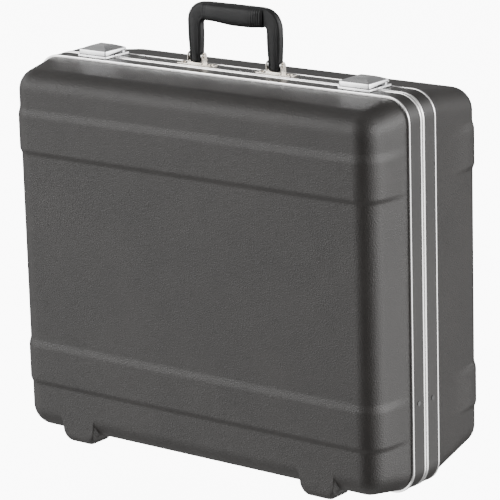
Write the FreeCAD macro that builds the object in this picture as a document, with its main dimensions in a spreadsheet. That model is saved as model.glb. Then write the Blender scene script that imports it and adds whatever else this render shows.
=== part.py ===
import FreeCAD, Part
import math
import os
import re

import Sketcher
from FreeCAD import Placement, Rotation, Vector

# Hard-shell transport case: two moulded shells, each gripped at its open edge by an aluminium valance.
# Millimetres, +Z up. The case stands on its feet at Z = 0 and is centred on X and, over its whole depth, on Y.
# The lid is the front half (-Y), the base the back half (+Y). A "reach" is a distance in Y from the parting
# plane, and an "inset" is a distance inwards from the outer crest of the valance's beads.

# ---------------------------------------------------------------- driving dimensions

SIZES = (
    ("case_width", 553),           # over the valance
    ("case_height", 470),          # over the valance
    ("lid_depth", 90),             # parting plane to the lid's panel
    ("base_depth", 142),           # parting plane to the base's panel
    ("foot_drop", 2),              # feet below the valance
    ("corner_radius", 30),         # of the valance
    ("valance_depth", 27.4),
    ("bead_width", 5),             # bead at the parting plane
    ("rim_bead_width", 4.2),       # bead at the shell
    ("bead_bevel", 0.8),
    ("web_inset", 1.3),            # floor of the channel between the beads
    ("inlay_thickness", 0.8),
    ("shell_inset", 2.5),
    ("shell_wall", 3.5),
    ("flange_wall", 1.2),          # the valance's lip inside the shell
    ("flange_reach", 19),
    ("shell_edge_reach", 4.4),     # where the shell's edge stops inside the valance
    ("parting_gap", 0.3),
    ("seam_gap", 0.3),             # butt joint of each bent valance
    ("seam_height", 135),          # above mid-height
    ("splice_length", 60),
    ("splice_thickness", 1.5),
    ("draft_angle", 8),            # lean of the shell walls
    ("edge_radius", 26),           # between the shell walls and the panel
    ("collar_step", 0.5),          # the shell is thinner by this on both faces inside the valance
    ("collar_overlap", 0.2),
    ("band_height", 50),
    ("band_proud", 2.5),
    ("low_band", 68.5),            # lower edge of the lower band, above the valance's underside
    ("high_band", 60),             # upper edge of the upper band, below the valance's top
    ("foot_width", 48),
    ("foot_length", 34),
    ("foot_height", 34),
    ("foot_inset", 94),            # side of the case to the foot's middle
    ("foot_round", 11),
    ("hinge_end", 40.5),           # side of the case to the hinge
    ("knuckle_radius", 2.1),
    ("knuckle_gap", 0.5),
    ("hinge_pin_radius", 1),
    ("leaf_thickness", 1),
    ("leaf_margin", 3.2),          # leaf to the rim bead
    ("pin_clearance", 0.04),       # radial, around every pin
    ("moving_gap", 0.4),           # between pieces that pass each other
    ("rivet_radius", 1.6),
    ("rivet_head_radius", 3),
    ("rivet_head", 0.5),
    ("dome_head", 1.2),
    ("inner_head", 1),
    ("stay_height", 110),          # lid stay pivots above the valance's underside
    ("stay_length", 90),           # pivot to elbow
    ("stay_width", 11),
    ("stay_thickness", 1.5),
    ("stay_standoff", 1.7),
    ("stay_spacing", 0.7),         # between the two arms of a stay
    ("stay_pivot_radius", 2),
    ("stay_head_radius", 3.6),
    ("handle_spread", 118),        # middle of one leg to the other
    ("handle_height", 77.5),       # top of the grip above the valance
    ("leg_width", 20),
    ("leg_thickness", 11),
    ("leg_round", 3.5),
    ("leg_end", 7.5),              # leg below its pivot
    ("bow_radius", 24),            # outer corners of the handle
    ("inner_bow_radius", 8),
    ("strap_width", 7),            # steel strap inside the handle
    ("strap_thickness", 1.6),
    ("barrel_radius", 3.6),
    ("grip_length", 96),
    ("grip_height", 26),
    ("grip_thickness", 20),
    ("grip_round", 8),
    ("grip_skin", 0.6),            # grip above the leather it covers
    ("pivot_height", 10.5),        # handle pivots above the valance
    ("bracket_length", 56),
    ("bracket_margin", 2.6),       # bracket to the beads on both sides
    ("bracket_thickness", 1.2),
    ("bracket_rivet_offset", 21),
    ("ear_width", 9),
    ("handle_pin_radius", 2),
    ("latch_inset", 81),           # side of the case to the latch's middle
    ("latch_width", 45),
    ("latch_front", 20.5),         # reach of the keeper's front edge, into the lid
    ("latch_split", 3.3),          # reach of the keeper's back edge, into the lid
    ("latch_back", 23.5),          # reach of the latch plate's back edge, into the base
    ("latch_plate", 3),
    ("latch_rivet_offset", 15),
    ("cover_width", 43),
    ("cover_rim", 5.8),
    ("cover_crown", 5),
    ("crown_slope", 72),           # lean of the facets on top of the cover
    ("cover_wall", 1.4),
    ("cover_roof", 0.5),
    ("cover_front", 19.8),
    ("cover_back", 2.4),           # cover behind its pivot
    ("latch_pivot_reach", 18),
    ("latch_pivot_height", 6.4),
    ("latch_pin_radius", 1.2),
    ("latch_ear", 1.5),
    ("latch_ear_radius", 2),
    ("latch_ear_inset", 4),
    ("spring_radius", 1.9),
    ("spring_length", 14),
    ("hook_width", 10),
    ("hook_thickness", 1.2),
    ("keeper_slot_width", 14),
    ("keeper_slot_length", 3),
    ("keeper_slot_depth", 2),
)

KNUCKLES = 15
HINGE_RIVETS = 8
SIDE_RIVETS = (-0.13, 0.05)                        # from mid-height, in case heights
TOP_RIVETS = (-0.425, -0.235, 0, 0.235, 0.425)     # from the middle, in case widths

doc = FreeCAD.newDocument("transport_case")
sheet = doc.addObject("Spreadsheet::Sheet", "Sizes")
for row, (alias, size) in enumerate(SIZES, start=1):
    sheet.set(f"A{row}", alias)
    sheet.set(f"B{row}", str(size))
    sheet.setAlias(f"B{row}", alias)
doc.recompute()
ALIASES = {alias for alias, size in SIZES}

# Places that several pieces share.
LID, BASE = -1, 1
PARTING = "((lid_depth - base_depth) / 2)"
TOP = "(foot_drop + case_height)"
MIDDLE = "(foot_drop + case_height / 2)"
HALF_HEIGHT = "(case_height / 2)"
SIDE = "(case_width / 2)"
CHANNEL_END = "(valance_depth - rim_bead_width)"
CHANNEL_MIDDLE = f"((bead_width + {CHANNEL_END}) / 2)"
INLAY_FACE = "(web_inset - inlay_thickness)"
CAVITY = "(shell_inset + shell_wall)"
FLANGE_FACE = "(shell_inset + shell_wall + flange_wall)"
LEAF_FACE = "(web_inset - leaf_thickness)"
HINGE_AXIS = "(foot_drop + web_inset - leaf_thickness + knuckle_radius)"
KNUCKLE_ROOM = "(knuckle_radius + 2 * moving_gap)"
HINGE_LENGTH = "(case_width - 2 * hinge_end)"
PITCH = f"({HINGE_LENGTH} / {KNUCKLES})"
DRAFT_START = "(valance_depth - 2)"
BRACKET_TOP = f"({TOP} - {INLAY_FACE} + bracket_thickness)"
ROW = {half: f"({PARTING} + {half} * {CHANNEL_MIDDLE})" for half in (LID, BASE)}
BAND_BOTTOMS = {"low": "low_band", "high": "(case_height - high_band - band_height)"}
DEPTH = {LID: "lid_depth", BASE: "base_depth"}
NAMES = {LID: "lid", BASE: "base"}
SIDES = (("left", -1), ("right", 1))
SEAM_SIDE = {LID: 1, BASE: -1}
TURNS = {"x": Rotation(Vector(0, 1, 0), 90), "y": Rotation(Vector(1, 0, 0), -90), "z": Rotation()}

nodes = []


def bound(text):
    """The expression with every size written as a cell of the sheet."""
    return re.sub(r"[a-z_]+", lambda word: f"Sizes.{word[0]}" if word[0] in ALIASES else word[0], str(text))


def number(text):
    """The expression's value now, in millimetres or degrees."""
    return float(sheet.evalExpression(bound(text)))


def node(label, part):
    """Names a finished piece."""
    part.Label = label
    nodes.append(part)
    return part


# ---------------------------------------------------------------- primitives and booleans

def place(part, x, y, z):
    for axis, text in zip("xyz", (x, y, z)):
        part.setExpression(f"Placement.Base.{axis}", bound(text))


def block(name, x, y, z, length, width, height):
    """A box from its lowest corner."""
    part = doc.addObject("Part::Box", name)
    for prop, text in (("Length", length), ("Width", width), ("Height", height)):
        part.setExpression(prop, bound(text))
    place(part, x, y, z)
    return part


def slab(name, half, near, far, x, z, length, height):
    """A box in one half of the case, between two reaches."""
    low = near if half == BASE else far
    return block(name, x, f"{PARTING} + {half} * {low}", z, length, f"{far} - {near}", height)


def rod(name, axis, x, y, z, radius, length):
    """A cylinder that starts at the point and runs along +axis."""
    part = doc.addObject("Part::Cylinder", name)
    part.Placement = Placement(Vector(), TURNS[axis])
    part.setExpression("Radius", bound(radius))
    part.setExpression("Height", bound(length))
    place(part, x, y, z)
    return part


def turned(name, axis, inward, x, y, z, steps):
    """Rods in line: each step runs between two depths below a surface point, inward being +1 or -1 along axis."""
    rods = []
    for start, stop, radius in steps:
        low = start if inward > 0 else stop
        spot = {"x": x, "y": y, "z": z}
        spot[axis] = f"{spot[axis]} + {inward} * ({low})"
        rods.append(rod(name, axis, spot["x"], spot["y"], spot["z"], radius, f"({stop}) - ({start})"))
    return rods


def fuse(name, parts):
    if len(parts) == 1:
        return parts[0]
    whole = doc.addObject("Part::MultiFuse", name)
    whole.Shapes = parts
    return whole


def cut(name, base, tools):
    part = doc.addObject("Part::Cut", name)
    part.Base = base
    part.Tool = fuse(f"{name}_tools", tools)
    return part


def common(name, one, other):
    part = doc.addObject("Part::Common", name)
    part.Base = one
    part.Tool = other
    return part


# ---------------------------------------------------------------- bodies and sketches

def body_at(name, x, y, z):
    body = doc.addObject("PartDesign::Body", name)
    place(body, x, y, z)
    return body


def sketch_on(body, role, offset="0"):
    """A sketch on one of the body's origin planes, moved along the plane's normal."""
    plane = next(feature for feature in body.Origin.OriginFeatures if feature.Role == role)
    sketch = body.newObject("Sketcher::SketchObject", f"{body.Name}_sketch")
    sketch.AttachmentSupport = [(plane, "")]
    sketch.MapMode = "FlatFace"
    sketch.setExpression("AttachmentOffset.Base.z", bound(offset))
    return sketch


def tie(sketch, kind, piece, end, text):
    """Binds one coordinate of a sketch point to the sheet."""
    index = sketch.addConstraint(Sketcher.Constraint(kind, -1, 1, piece, end, number(text)))
    sketch.setExpression(f"Constraints[{index}]", bound(text))


def draw(sketch, corners, arcs=None, closed=True):
    """An outline through the corners. arcs maps a run's index to its centre and whether it turns left."""
    arcs = arcs or {}
    spots = [Vector(number(x), number(y), 0) for x, y in corners]
    count = len(corners) if closed else len(corners) - 1
    runs = []
    for index in range(count):
        start, stop = spots[index], spots[(index + 1) % len(spots)]
        if index in arcs:
            (x, y), left = arcs[index]
            centre = Vector(number(x), number(y), 0)
            ends = (start, stop) if left else (stop, start)
            angles = [math.atan2(spot.y - centre.y, spot.x - centre.x) for spot in ends]
            circle = Part.Circle(centre, Vector(0, 0, 1), (start - centre).Length)
            piece = sketch.addGeometry(Part.ArcOfCircle(circle, *angles))
            runs.append((piece, 1, 2) if left else (piece, 2, 1))
        else:
            runs.append((sketch.addGeometry(Part.LineSegment(start, stop)), 1, 2))
    for run, following in zip(runs, runs[1:] + runs[:1] if closed else runs[1:]):
        sketch.addConstraint(Sketcher.Constraint("Coincident", run[0], run[2], following[0], following[1]))
    for index, (x, y) in enumerate(corners):
        piece, end = runs[index][:2] if index < count else (runs[-1][0], runs[-1][2])
        tie(sketch, "DistanceX", piece, end, x)
        tie(sketch, "DistanceY", piece, end, y)
    for index, ((x, y), left) in arcs.items():
        chord = spots[(index + 1) % len(spots)] - spots[index]
        flat = abs(chord.x) > abs(chord.y)
        tie(sketch, "DistanceY" if flat else "DistanceX", runs[index][0], 3, y if flat else x)
    return sketch


def pad(body, sketch, length, reverse=False, both_ways=False, taper=None):
    feature = body.newObject("PartDesign::Pad", f"{body.Name}_pad")
    feature.Profile = sketch
    feature.setExpression("Length", bound(length))
    feature.Reversed = reverse
    if both_ways:
        feature.SideType = "Symmetric"
    if taper:
        feature.setExpression("TaperAngle", bound(taper))
    doc.recompute()
    return feature


def fillet(body, feature, chosen, radius):
    """Rounds the feature's edges for which chosen(edge) is true."""
    names = [f"Edge{index}" for index, edge in enumerate(feature.Shape.Edges, start=1) if chosen(edge)]
    rounded = body.newObject("PartDesign::Fillet", f"{body.Name}_fillet")
    rounded.Base = (feature, names)
    rounded.setExpression("Radius", bound(radius))
    doc.recompute()
    return rounded


def rectangle(half_width, half_height):
    return [(f"{x} * {half_width}", f"{y} * {half_height}") for x, y in ((-1, -1), (1, -1), (1, 1), (-1, 1))]


def round_rectangle(half_width, half_height, radius):
    """Corners and arcs of a rectangle with round corners, centred on the sketch's origin."""
    w, v = half_width, half_height
    corners = [(f"-({w} - {radius})", f"-{v}"), (f"{w} - {radius}", f"-{v}"),
               (w, f"-({v} - {radius})"), (w, f"{v} - {radius}"),
               (f"{w} - {radius}", v), (f"-({w} - {radius})", v),
               (f"-{w}", f"{v} - {radius}"), (f"-{w}", f"-({v} - {radius})")]
    arcs = {index: ((f"{x} * ({w} - {radius})", f"{y} * ({v} - {radius})"), True)
            for index, x, y in ((1, 1, -1), (3, 1, 1), (5, -1, 1), (7, -1, -1))}
    return corners, arcs


# ---------------------------------------------------------------- valance and inlay

def swept(name, path, arcs, plane, start, profile):
    """A profile drawn across a path's first end, carried along the path."""
    body = body_at(name, "0", PARTING, MIDDLE)
    route = draw(sketch_on(body, "XZ_Plane"), path, arcs, closed=False)
    section = sketch_on(body, plane, start)
    draw(section, profile)
    pipe = body.newObject("PartDesign::AdditivePipe", f"{name}_pipe")
    pipe.Profile = section
    pipe.Spine = route
    doc.recompute()
    return body


def loop_path(side):
    """Once round the case from the seam, up and over, back to just below the seam."""
    wide = f"({SIDE} - corner_radius)"
    tall = f"({HALF_HEIGHT} - corner_radius)"
    corners = [(1, SIDE, "seam_height"), (1, SIDE, tall), (1, wide, HALF_HEIGHT), (-1, wide, HALF_HEIGHT),
               (-1, SIDE, tall), (-1, SIDE, f"-{tall}"), (-1, wide, f"-{HALF_HEIGHT}"),
               (1, wide, f"-{HALF_HEIGHT}"), (1, SIDE, f"-{tall}"), (1, SIDE, "seam_height - seam_gap")]
    arcs = {index: ((f"{x * side} * {wide}", f"{z} * {tall}"), side > 0)
            for index, x, z in ((1, 1, 1), (3, -1, 1), (5, -1, -1), (7, 1, -1))}
    return [(f"{x * side} * {across}", height) for x, across, height in corners], arcs


def arch_path():
    """From the underside round a lower corner, up, over and down, to the underside past the other lower corner."""
    wide = f"({SIDE} - corner_radius)"
    tall = f"({HALF_HEIGHT} - corner_radius)"
    corners = [(wide, f"-{HALF_HEIGHT}"), (SIDE, f"-{tall}"), (SIDE, tall), (wide, HALF_HEIGHT),
               (f"-{wide}", HALF_HEIGHT), (f"-{SIDE}", tall), (f"-{SIDE}", f"-{tall}"),
               (f"-{wide}", f"-{HALF_HEIGHT}")]
    arcs = {index: ((f"{x} * {wide}", f"{z} * {tall}"), True)
            for index, x, z in ((0, 1, -1), (2, 1, 1), (4, -1, 1), (6, -1, -1))}
    return corners, arcs


VALANCE_PROFILE = (
    ("bead_bevel", "parting_gap / 2"), ("0", "parting_gap / 2 + bead_bevel"), ("0", "bead_width - bead_bevel"),
    ("bead_bevel", "bead_width"), ("web_inset", "bead_width"), ("web_inset", CHANNEL_END),
    ("bead_bevel", CHANNEL_END), ("0", f"{CHANNEL_END} + bead_bevel"), ("0", "valance_depth - bead_bevel"),
    ("bead_bevel", "valance_depth"), ("shell_inset", "valance_depth"), ("shell_inset", "shell_edge_reach"),
    (CAVITY, "shell_edge_reach"), (CAVITY, "flange_reach"), (FLANGE_FACE, "flange_reach"),
    (FLANGE_FACE, "parting_gap / 2"),
)
INLAY_PROFILE = ((INLAY_FACE, "bead_width"), ("web_inset", "bead_width"), ("web_inset", CHANNEL_END),
                 (INLAY_FACE, CHANNEL_END))


def hinge_room(half):
    """What the hinge at the bottom of the parting plane takes out of each valance."""
    knuckles = slab("knuckle_room", half, "0", KNUCKLE_ROOM, "-(case_width / 2 - corner_radius / 2)", "0",
                    "case_width - corner_radius", f"{HINGE_AXIS} + knuckle_radius + moving_gap")
    leaf = slab("leaf_room", half, "0", "bead_width", f"-({HINGE_LENGTH} / 2 + moving_gap)", "0",
                f"{HINGE_LENGTH} + 2 * moving_gap", "foot_drop + web_inset")
    return [knuckles, leaf]


# ---------------------------------------------------------------- shells

def collar(name, half, inset, start):
    """The straight edge of a shell, inside the valance."""
    body = body_at(name, "0", PARTING, MIDDLE)
    sketch = sketch_on(body, "XZ_Plane", f"{-half} * ({start})")
    draw(sketch, *round_rectangle(f"({SIDE} - {inset})", f"({HALF_HEIGHT} - {inset})", f"(corner_radius - {inset})"))
    pad(body, sketch, f"{DRAFT_START} + collar_overlap - ({start})", reverse=half == BASE)
    return body


def tray(name, half, inset, depth):
    """The leaning walls and the end panel of a shell, as a solid."""
    body = body_at(name, "0", PARTING, MIDDLE)
    sketch = sketch_on(body, "XZ_Plane", f"{-half} * {DRAFT_START}")
    draw(sketch, rectangle(f"({SIDE} - {inset})", f"({HALF_HEIGHT} - {inset})"))
    length = f"({depth}) - {DRAFT_START}"
    walls = pad(body, sketch, length, reverse=half == BASE, taper="-draft_angle")
    corners = fillet(body, walls, lambda edge: edge.BoundBox.YLength > number(length) / 2,
                     f"corner_radius - {inset}")
    end = half * number(depth)
    fillet(body, corners, lambda edge: max(abs(edge.BoundBox.YMin - end), abs(edge.BoundBox.YMax - end)) < 1e-4,
           f"min(edge_radius - ({inset} - shell_inset); corner_radius - {inset} - 1)")
    return body


def foot(half, side):
    """A moulded foot, flush with the panel, its lower edges round."""
    base = slab("foot_block", half, f"({DEPTH[half]} - foot_length)", DEPTH[half],
                f"{side} * ({SIDE} - foot_inset) - foot_width / 2", "0", "foot_width", "foot_height")
    doc.recompute()
    part = doc.addObject("Part::Fillet", "foot")
    part.Base = base
    radius = number("foot_round")
    part.Edges = [(index, radius, radius) for index, edge in enumerate(base.Shape.Edges, start=1)
                  if edge.BoundBox.ZMax < 1e-4 and edge.BoundBox.YLength > edge.BoundBox.XLength]
    return part


def shell(half):
    """One moulded shell with its raised bands and feet, before the rivet holes."""
    name = NAMES[half]
    proud = tray(f"{name}_proud", half, "shell_inset", f"{DEPTH[half]} + band_proud")
    bands = []
    for band, bottom in BAND_BOTTOMS.items():
        strip = slab(f"{name}_{band}_strip", half, DRAFT_START, f"({DEPTH[half]} + 2 * band_proud)",
                     f"-{SIDE}", f"foot_drop + {bottom}", "case_width", "band_height")
        bands.append(common(f"{name}_{band}_band", proud, strip))
    outside = fuse(f"{name}_outside", [
        collar(f"{name}_collar", half, "(shell_inset + collar_step)", "shell_edge_reach"),
        tray(f"{name}_tray", half, "shell_inset", DEPTH[half]),
        *bands,
        *(foot(half, side) for name_of_side, side in SIDES),
    ])
    inside = fuse(f"{name}_inside", [
        collar(f"{name}_collar_room", half, CAVITY, "shell_edge_reach - moving_gap"),
        tray(f"{name}_tray_room", half, f"({CAVITY} + collar_step)", f"{DEPTH[half]} - shell_wall"),
    ])
    return cut(f"{name}_hollow", outside, [inside])


# ---------------------------------------------------------------- rivets of the shells and the hinge

def shell_rivets(half):
    """Rivets under the inlay that hold the shell in its valance; two on the seam's side also hold the splice."""
    rods = []
    steps = (("0", f"{FLANGE_FACE} - web_inset", "rivet_radius"),
             (f"{FLANGE_FACE} - web_inset", f"{FLANGE_FACE} - web_inset + inner_head", "rivet_head_radius"))
    for place_on_top in TOP_RIVETS:
        rods += turned("shell_rivet", "z", -1, f"{place_on_top} * case_width", ROW[half], f"{TOP} - web_inset", steps)
    for name_of_side, side in SIDES:
        for height in SIDE_RIVETS:
            rods += turned("shell_rivet", "x", -side, f"{side} * ({SIDE} - web_inset)", ROW[half],
                           f"{MIDDLE} + {height} * case_height", steps)
    return rods


def splice_rivets(half):
    side = SEAM_SIDE[half]
    grip = f"({FLANGE_FACE} - web_inset + splice_thickness)"
    steps = (("0", grip, "rivet_radius"), (grip, f"{grip} + inner_head", "rivet_head_radius"))
    rods = []
    for end in (-1, 1):
        rods += turned("splice_rivet", "x", -side, f"{side} * ({SIDE} - web_inset)", ROW[half],
                       f"{MIDDLE} + seam_height + {end} * splice_length / 3", steps)
    return rods


def splice_plate(half):
    side = SEAM_SIDE[half]
    low = f"{SIDE} - {FLANGE_FACE} - splice_thickness" if side > 0 else f"-({SIDE} - {FLANGE_FACE})"
    return slab(f"{NAMES[half]}_splice", half, "bead_width", "flange_reach", low,
                f"{MIDDLE} + seam_height - splice_length / 2", "splice_thickness", "splice_length")


def hinge_rivets(half):
    """Domed below the leaf, set over the valance's lip inside the case."""
    steps = (("-rivet_head", "0", "rivet_head_radius"),
             ("0", f"{FLANGE_FACE} - {LEAF_FACE}", "rivet_radius"),
             (f"{FLANGE_FACE} - {LEAF_FACE}", f"{FLANGE_FACE} - {LEAF_FACE} + inner_head", "rivet_head_radius"))
    rods = []
    for index in range(HINGE_RIVETS):
        across = f"{HINGE_LENGTH} * {(index + 0.5) / HINGE_RIVETS - 0.5}"
        rods += turned("hinge_rivet", "z", 1, across, ROW[half], f"foot_drop + {LEAF_FACE}", steps)
    return rods


# ---------------------------------------------------------------- hinge

def hinge_leaf(half):
    """A leaf with every other knuckle of the hinge."""
    bottom = f"foot_drop + {LEAF_FACE}"
    parts = [slab("leaf", half, "(knuckle_radius + moving_gap)", f"({CHANNEL_END} - leaf_margin)",
                  f"-{HINGE_LENGTH} / 2", bottom, HINGE_LENGTH, "leaf_thickness")]
    for index in range(0 if half == BASE else 1, KNUCKLES, 2):
        start = f"({index} * {PITCH} - {HINGE_LENGTH} / 2 + knuckle_gap / 2)"
        length = f"({PITCH} - knuckle_gap)"
        parts.append(rod("knuckle", "x", start, PARTING, HINGE_AXIS, "knuckle_radius", length))
        parts.append(slab("tab", half, "0", "(knuckle_radius + moving_gap)", start, bottom, length, "leaf_thickness"))
    bore = rod("knuckle_bore", "x", f"-{HINGE_LENGTH} / 2", PARTING, HINGE_AXIS,
               "hinge_pin_radius + pin_clearance", HINGE_LENGTH)
    return cut(f"{NAMES[half]}_leaf_bored", fuse(f"{NAMES[half]}_leaf_solid", parts), [bore])


# ---------------------------------------------------------------- lid stays

STAY_PLANE = {BASE: f"({FLANGE_FACE} + stay_standoff)",
              LID: f"({FLANGE_FACE} + stay_standoff + stay_thickness + stay_spacing)"}
ELBOW_HEIGHT = f"(foot_drop + stay_height + sqrt(stay_length ^ 2 - {CHANNEL_MIDDLE} ^ 2))"


def stay_rivet(half, side):
    """A pivot rivet: domed outside the inlay, a spacer inside the lip, then the arm and a closing head."""
    arm = f"({STAY_PLANE[half]} - {INLAY_FACE})"
    lip = f"({FLANGE_FACE} - {INLAY_FACE})"
    play = "pin_clearance"
    steps = (("-rivet_head", "0", "rivet_head_radius"), ("0", lip, "stay_pivot_radius"),
             (lip, f"{arm} - {play}", "stay_head_radius"),
             (f"{arm} - {play}", f"{arm} + stay_thickness + {play}", "stay_pivot_radius"),
             (f"{arm} + stay_thickness + {play}", f"{arm} + stay_thickness + inner_head", "stay_head_radius"))
    return turned("stay_rivet", "x", -side, f"{side} * ({SIDE} - {INLAY_FACE})", ROW[half],
                  "foot_drop + stay_height", steps)


def stay_arm(half, side):
    """A flat arm from its pivot to the elbow, leaning to the parting plane."""
    name = f"{NAMES[half]}_stay"
    body = body_at(name, f"{side} * ({SIDE} - {STAY_PLANE[half]} - stay_thickness / 2)", ROW[half],
                   "foot_drop + stay_height")
    sketch = sketch_on(body, "YZ_Plane")
    w = "(stay_width / 2)"
    draw(sketch, [(f"-{w}", "stay_length"), (f"-{w}", "0"), (w, "0"), (w, "stay_length")],
         {1: (("0", "0"), True), 3: (("0", "stay_length"), True)})
    for height in ("0", "stay_length"):
        hole = sketch.addGeometry(Part.Circle(Vector(0, number(height), 0), Vector(0, 0, 1),
                                              number("stay_pivot_radius + pin_clearance")))
        tie(sketch, "DistanceX", hole, 3, "0")
        tie(sketch, "DistanceY", hole, 3, height)
        index = sketch.addConstraint(Sketcher.Constraint("Radius", hole, number("stay_pivot_radius + pin_clearance")))
        sketch.setExpression(f"Constraints[{index}]", bound("stay_pivot_radius + pin_clearance"))
    pad(body, sketch, "stay_thickness", both_ways=True)
    body.Placement.Rotation = Rotation(Vector(half, 0, 0), 1)
    body.setExpression("Placement.Rotation.Angle", bound(f"asin({CHANNEL_MIDDLE} / stay_length)"))
    return body


def elbow_rivet(half, side):
    """The elbow's rivet in two unjoined halves: one fills the hole of each arm and has its head on the far side."""
    face = f"{side} * ({SIDE} - {STAY_PLANE[half]})"
    thick = "stay_thickness"
    shank = ("0", thick, "stay_pivot_radius")
    head = ("-rivet_head", "0", "rivet_head_radius") if half == BASE else (thick, f"{thick} + rivet_head",
                                                                          "rivet_head_radius")
    return turned("elbow_rivet", "x", -side, face, PARTING, ELBOW_HEIGHT, (shank, head))


# ---------------------------------------------------------------- handle

HANDLE_Z = f"({TOP} + pivot_height)"


def handle_bow(name, outside, bow, inner_bow, thickness_across, bottom, width):
    """An upturned U in the plane of the handle: its outer half width, corner radii, thickness and lower end."""
    body = body_at(name, "0", ROW[BASE], HANDLE_Z)
    crest = f"(handle_height - grip_skin - pivot_height - (handle_spread / 2 + leg_width / 2 - {outside}))"
    inside = f"({outside} - {thickness_across})"
    under = f"({crest} - {thickness_across})"
    corners = [(outside, bottom), (outside, f"{crest} - {bow}"), (f"{outside} - {bow}", crest),
               (f"-({outside} - {bow})", crest), (f"-{outside}", f"{crest} - {bow}"), (f"-{outside}", bottom),
               (f"-{inside}", bottom), (f"-{inside}", f"{under} - {inner_bow}"),
               (f"-({inside} - {inner_bow})", under), (f"{inside} - {inner_bow}", under),
               (inside, f"{under} - {inner_bow}"), (inside, bottom)]
    arcs = {1: ((f"{outside} - {bow}", f"{crest} - {bow}"), True),
            3: ((f"-({outside} - {bow})", f"{crest} - {bow}"), True),
            7: ((f"-({inside} - {inner_bow})", f"{under} - {inner_bow}"), False),
            9: ((f"{inside} - {inner_bow}", f"{under} - {inner_bow}"), False)}
    sketch = sketch_on(body, "XZ_Plane")
    draw(sketch, corners, arcs)
    return body, pad(body, sketch, width, both_ways=True)


def handle():
    """The steel strap with a barrel at each end, the leather round it and the grip round both."""
    leather, bow = handle_bow("leather", "(handle_spread / 2 + leg_width / 2)", "bow_radius", "inner_bow_radius",
                              "leg_width", "-leg_end", "leg_thickness")
    fillet(leather, bow, lambda edge: edge.BoundBox.YLength < 1e-4, "leg_round")
    strap_bow = "(bow_radius - leg_width / 2)"
    strap, bow = handle_bow("strap", "(handle_spread / 2 + strap_thickness / 2)",
                            f"({strap_bow} + strap_thickness / 2)", f"({strap_bow} - strap_thickness / 2)",
                            "strap_thickness", "0", "strap_width")
    barrels, bores = [], []
    for name, side in SIDES:
        start = f"{side} * handle_spread / 2 - leg_width / 2"
        spot = (start, ROW[BASE], HANDLE_Z)
        barrels.append(rod("barrel", "x", *spot, "barrel_radius", "leg_width"))
        bores.append(rod("barrel_bore", "x", *spot, "handle_pin_radius + pin_clearance", "leg_width"))
    core = fuse("strap_and_barrels", [strap, *barrels])
    node("handle_strap", cut("strap_bored", core, bores))
    node("handle_leather", cut("leather_hollow", leather, [core]))

    sleeve = body_at("sleeve", "0", ROW[BASE], f"{TOP} + handle_height - grip_height / 2")
    sketch = sketch_on(sleeve, "YZ_Plane")
    draw(sketch, *round_rectangle("(grip_thickness / 2)", "(grip_height / 2)", "grip_round"))
    pad(sleeve, sketch, "grip_length", both_ways=True)
    node("handle_grip", cut("grip_hollow", sleeve, [leather]))


def bracket(name, side, rivets):
    """A riveted plate with two ears for the handle's pin."""
    middle = f"{side} * handle_spread / 2"
    width = f"({CHANNEL_END} - bead_width - 2 * bracket_margin)"
    plate = block("bracket_plate", f"{middle} - bracket_length / 2", f"{ROW[BASE]} - {width} / 2",
                  f"{TOP} - {INLAY_FACE}", "bracket_length", width, "bracket_thickness")
    parts, bores = [plate], []
    for end, offset in ((-1, "-leg_width / 2 - moving_gap - bracket_thickness"), (1, "leg_width / 2 + moving_gap")):
        start = f"{middle} + ({offset})"
        parts.append(block("bracket_ear", start, f"{ROW[BASE]} - ear_width / 2", f"{TOP} - {INLAY_FACE}",
                           "bracket_thickness", "ear_width", f"pivot_height + {INLAY_FACE}"))
        parts.append(rod("bracket_ear_top", "x", start, ROW[BASE], HANDLE_Z, "ear_width / 2", "bracket_thickness"))
        bores.append(rod("bracket_bore", "x", start, ROW[BASE], HANDLE_Z, "handle_pin_radius + pin_clearance",
                         "bracket_thickness"))
    node(f"handle_bracket_{name}", cut(f"bracket_{name}", fuse(f"bracket_{name}_solid", parts), [*bores, *rivets]))

    span = "(leg_width + 2 * moving_gap + 2 * bracket_thickness)"
    steps = (("-dome_head", "0", "rivet_head_radius"), ("0", span, "handle_pin_radius"),
             (span, f"{span} + dome_head", "rivet_head_radius"))
    node(f"handle_pin_{name}", fuse(f"pin_{name}", turned("handle_pin", "x", 1, f"{middle} - {span} / 2", ROW[BASE],
                                                        HANDLE_Z, steps)))


def bracket_rivets(side):
    grip = f"({FLANGE_FACE} - {INLAY_FACE} + bracket_thickness)"
    steps = (("-dome_head", "0", "rivet_head_radius"), ("0", grip, "rivet_radius"),
             (grip, f"{grip} + inner_head", "rivet_head_radius"))
    rods = []
    for end in (-1, 1):
        rods += turned("bracket_rivet", "z", -1, f"{side} * handle_spread / 2 + {end} * bracket_rivet_offset",
                       ROW[BASE], BRACKET_TOP, steps)
    return rods


# ---------------------------------------------------------------- latches

LATCH_MIDDLE = {side: f"({side} * ({SIDE} - latch_inset))" for name, side in SIDES}
COVER_BOTTOM = f"({TOP} + latch_plate + moving_gap)"
KEEPER_ROW = "((latch_front + latch_split) / 2)"
HOOK_REACH = "(latch_split + keeper_slot_length)"
LATCH_PIVOT = (f"({PARTING} + latch_pivot_reach)", f"({TOP} + latch_pivot_height)")


def latch_rivets(half, side):
    """Two flush rivets down through a latch's plate."""
    reach = KEEPER_ROW if half == LID else CHANNEL_MIDDLE
    grip = f"({FLANGE_FACE} + latch_plate)"
    steps = (("0", grip, "rivet_radius"), (grip, f"{grip} + inner_head", "rivet_head_radius"))
    rods = []
    for end in (-1, 1):
        rods += turned("latch_rivet", "z", -1, f"{LATCH_MIDDLE[side]} + {end} * latch_rivet_offset",
                       f"{PARTING} + {half} * {reach}", f"{TOP} + latch_plate", steps)
    return rods


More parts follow.
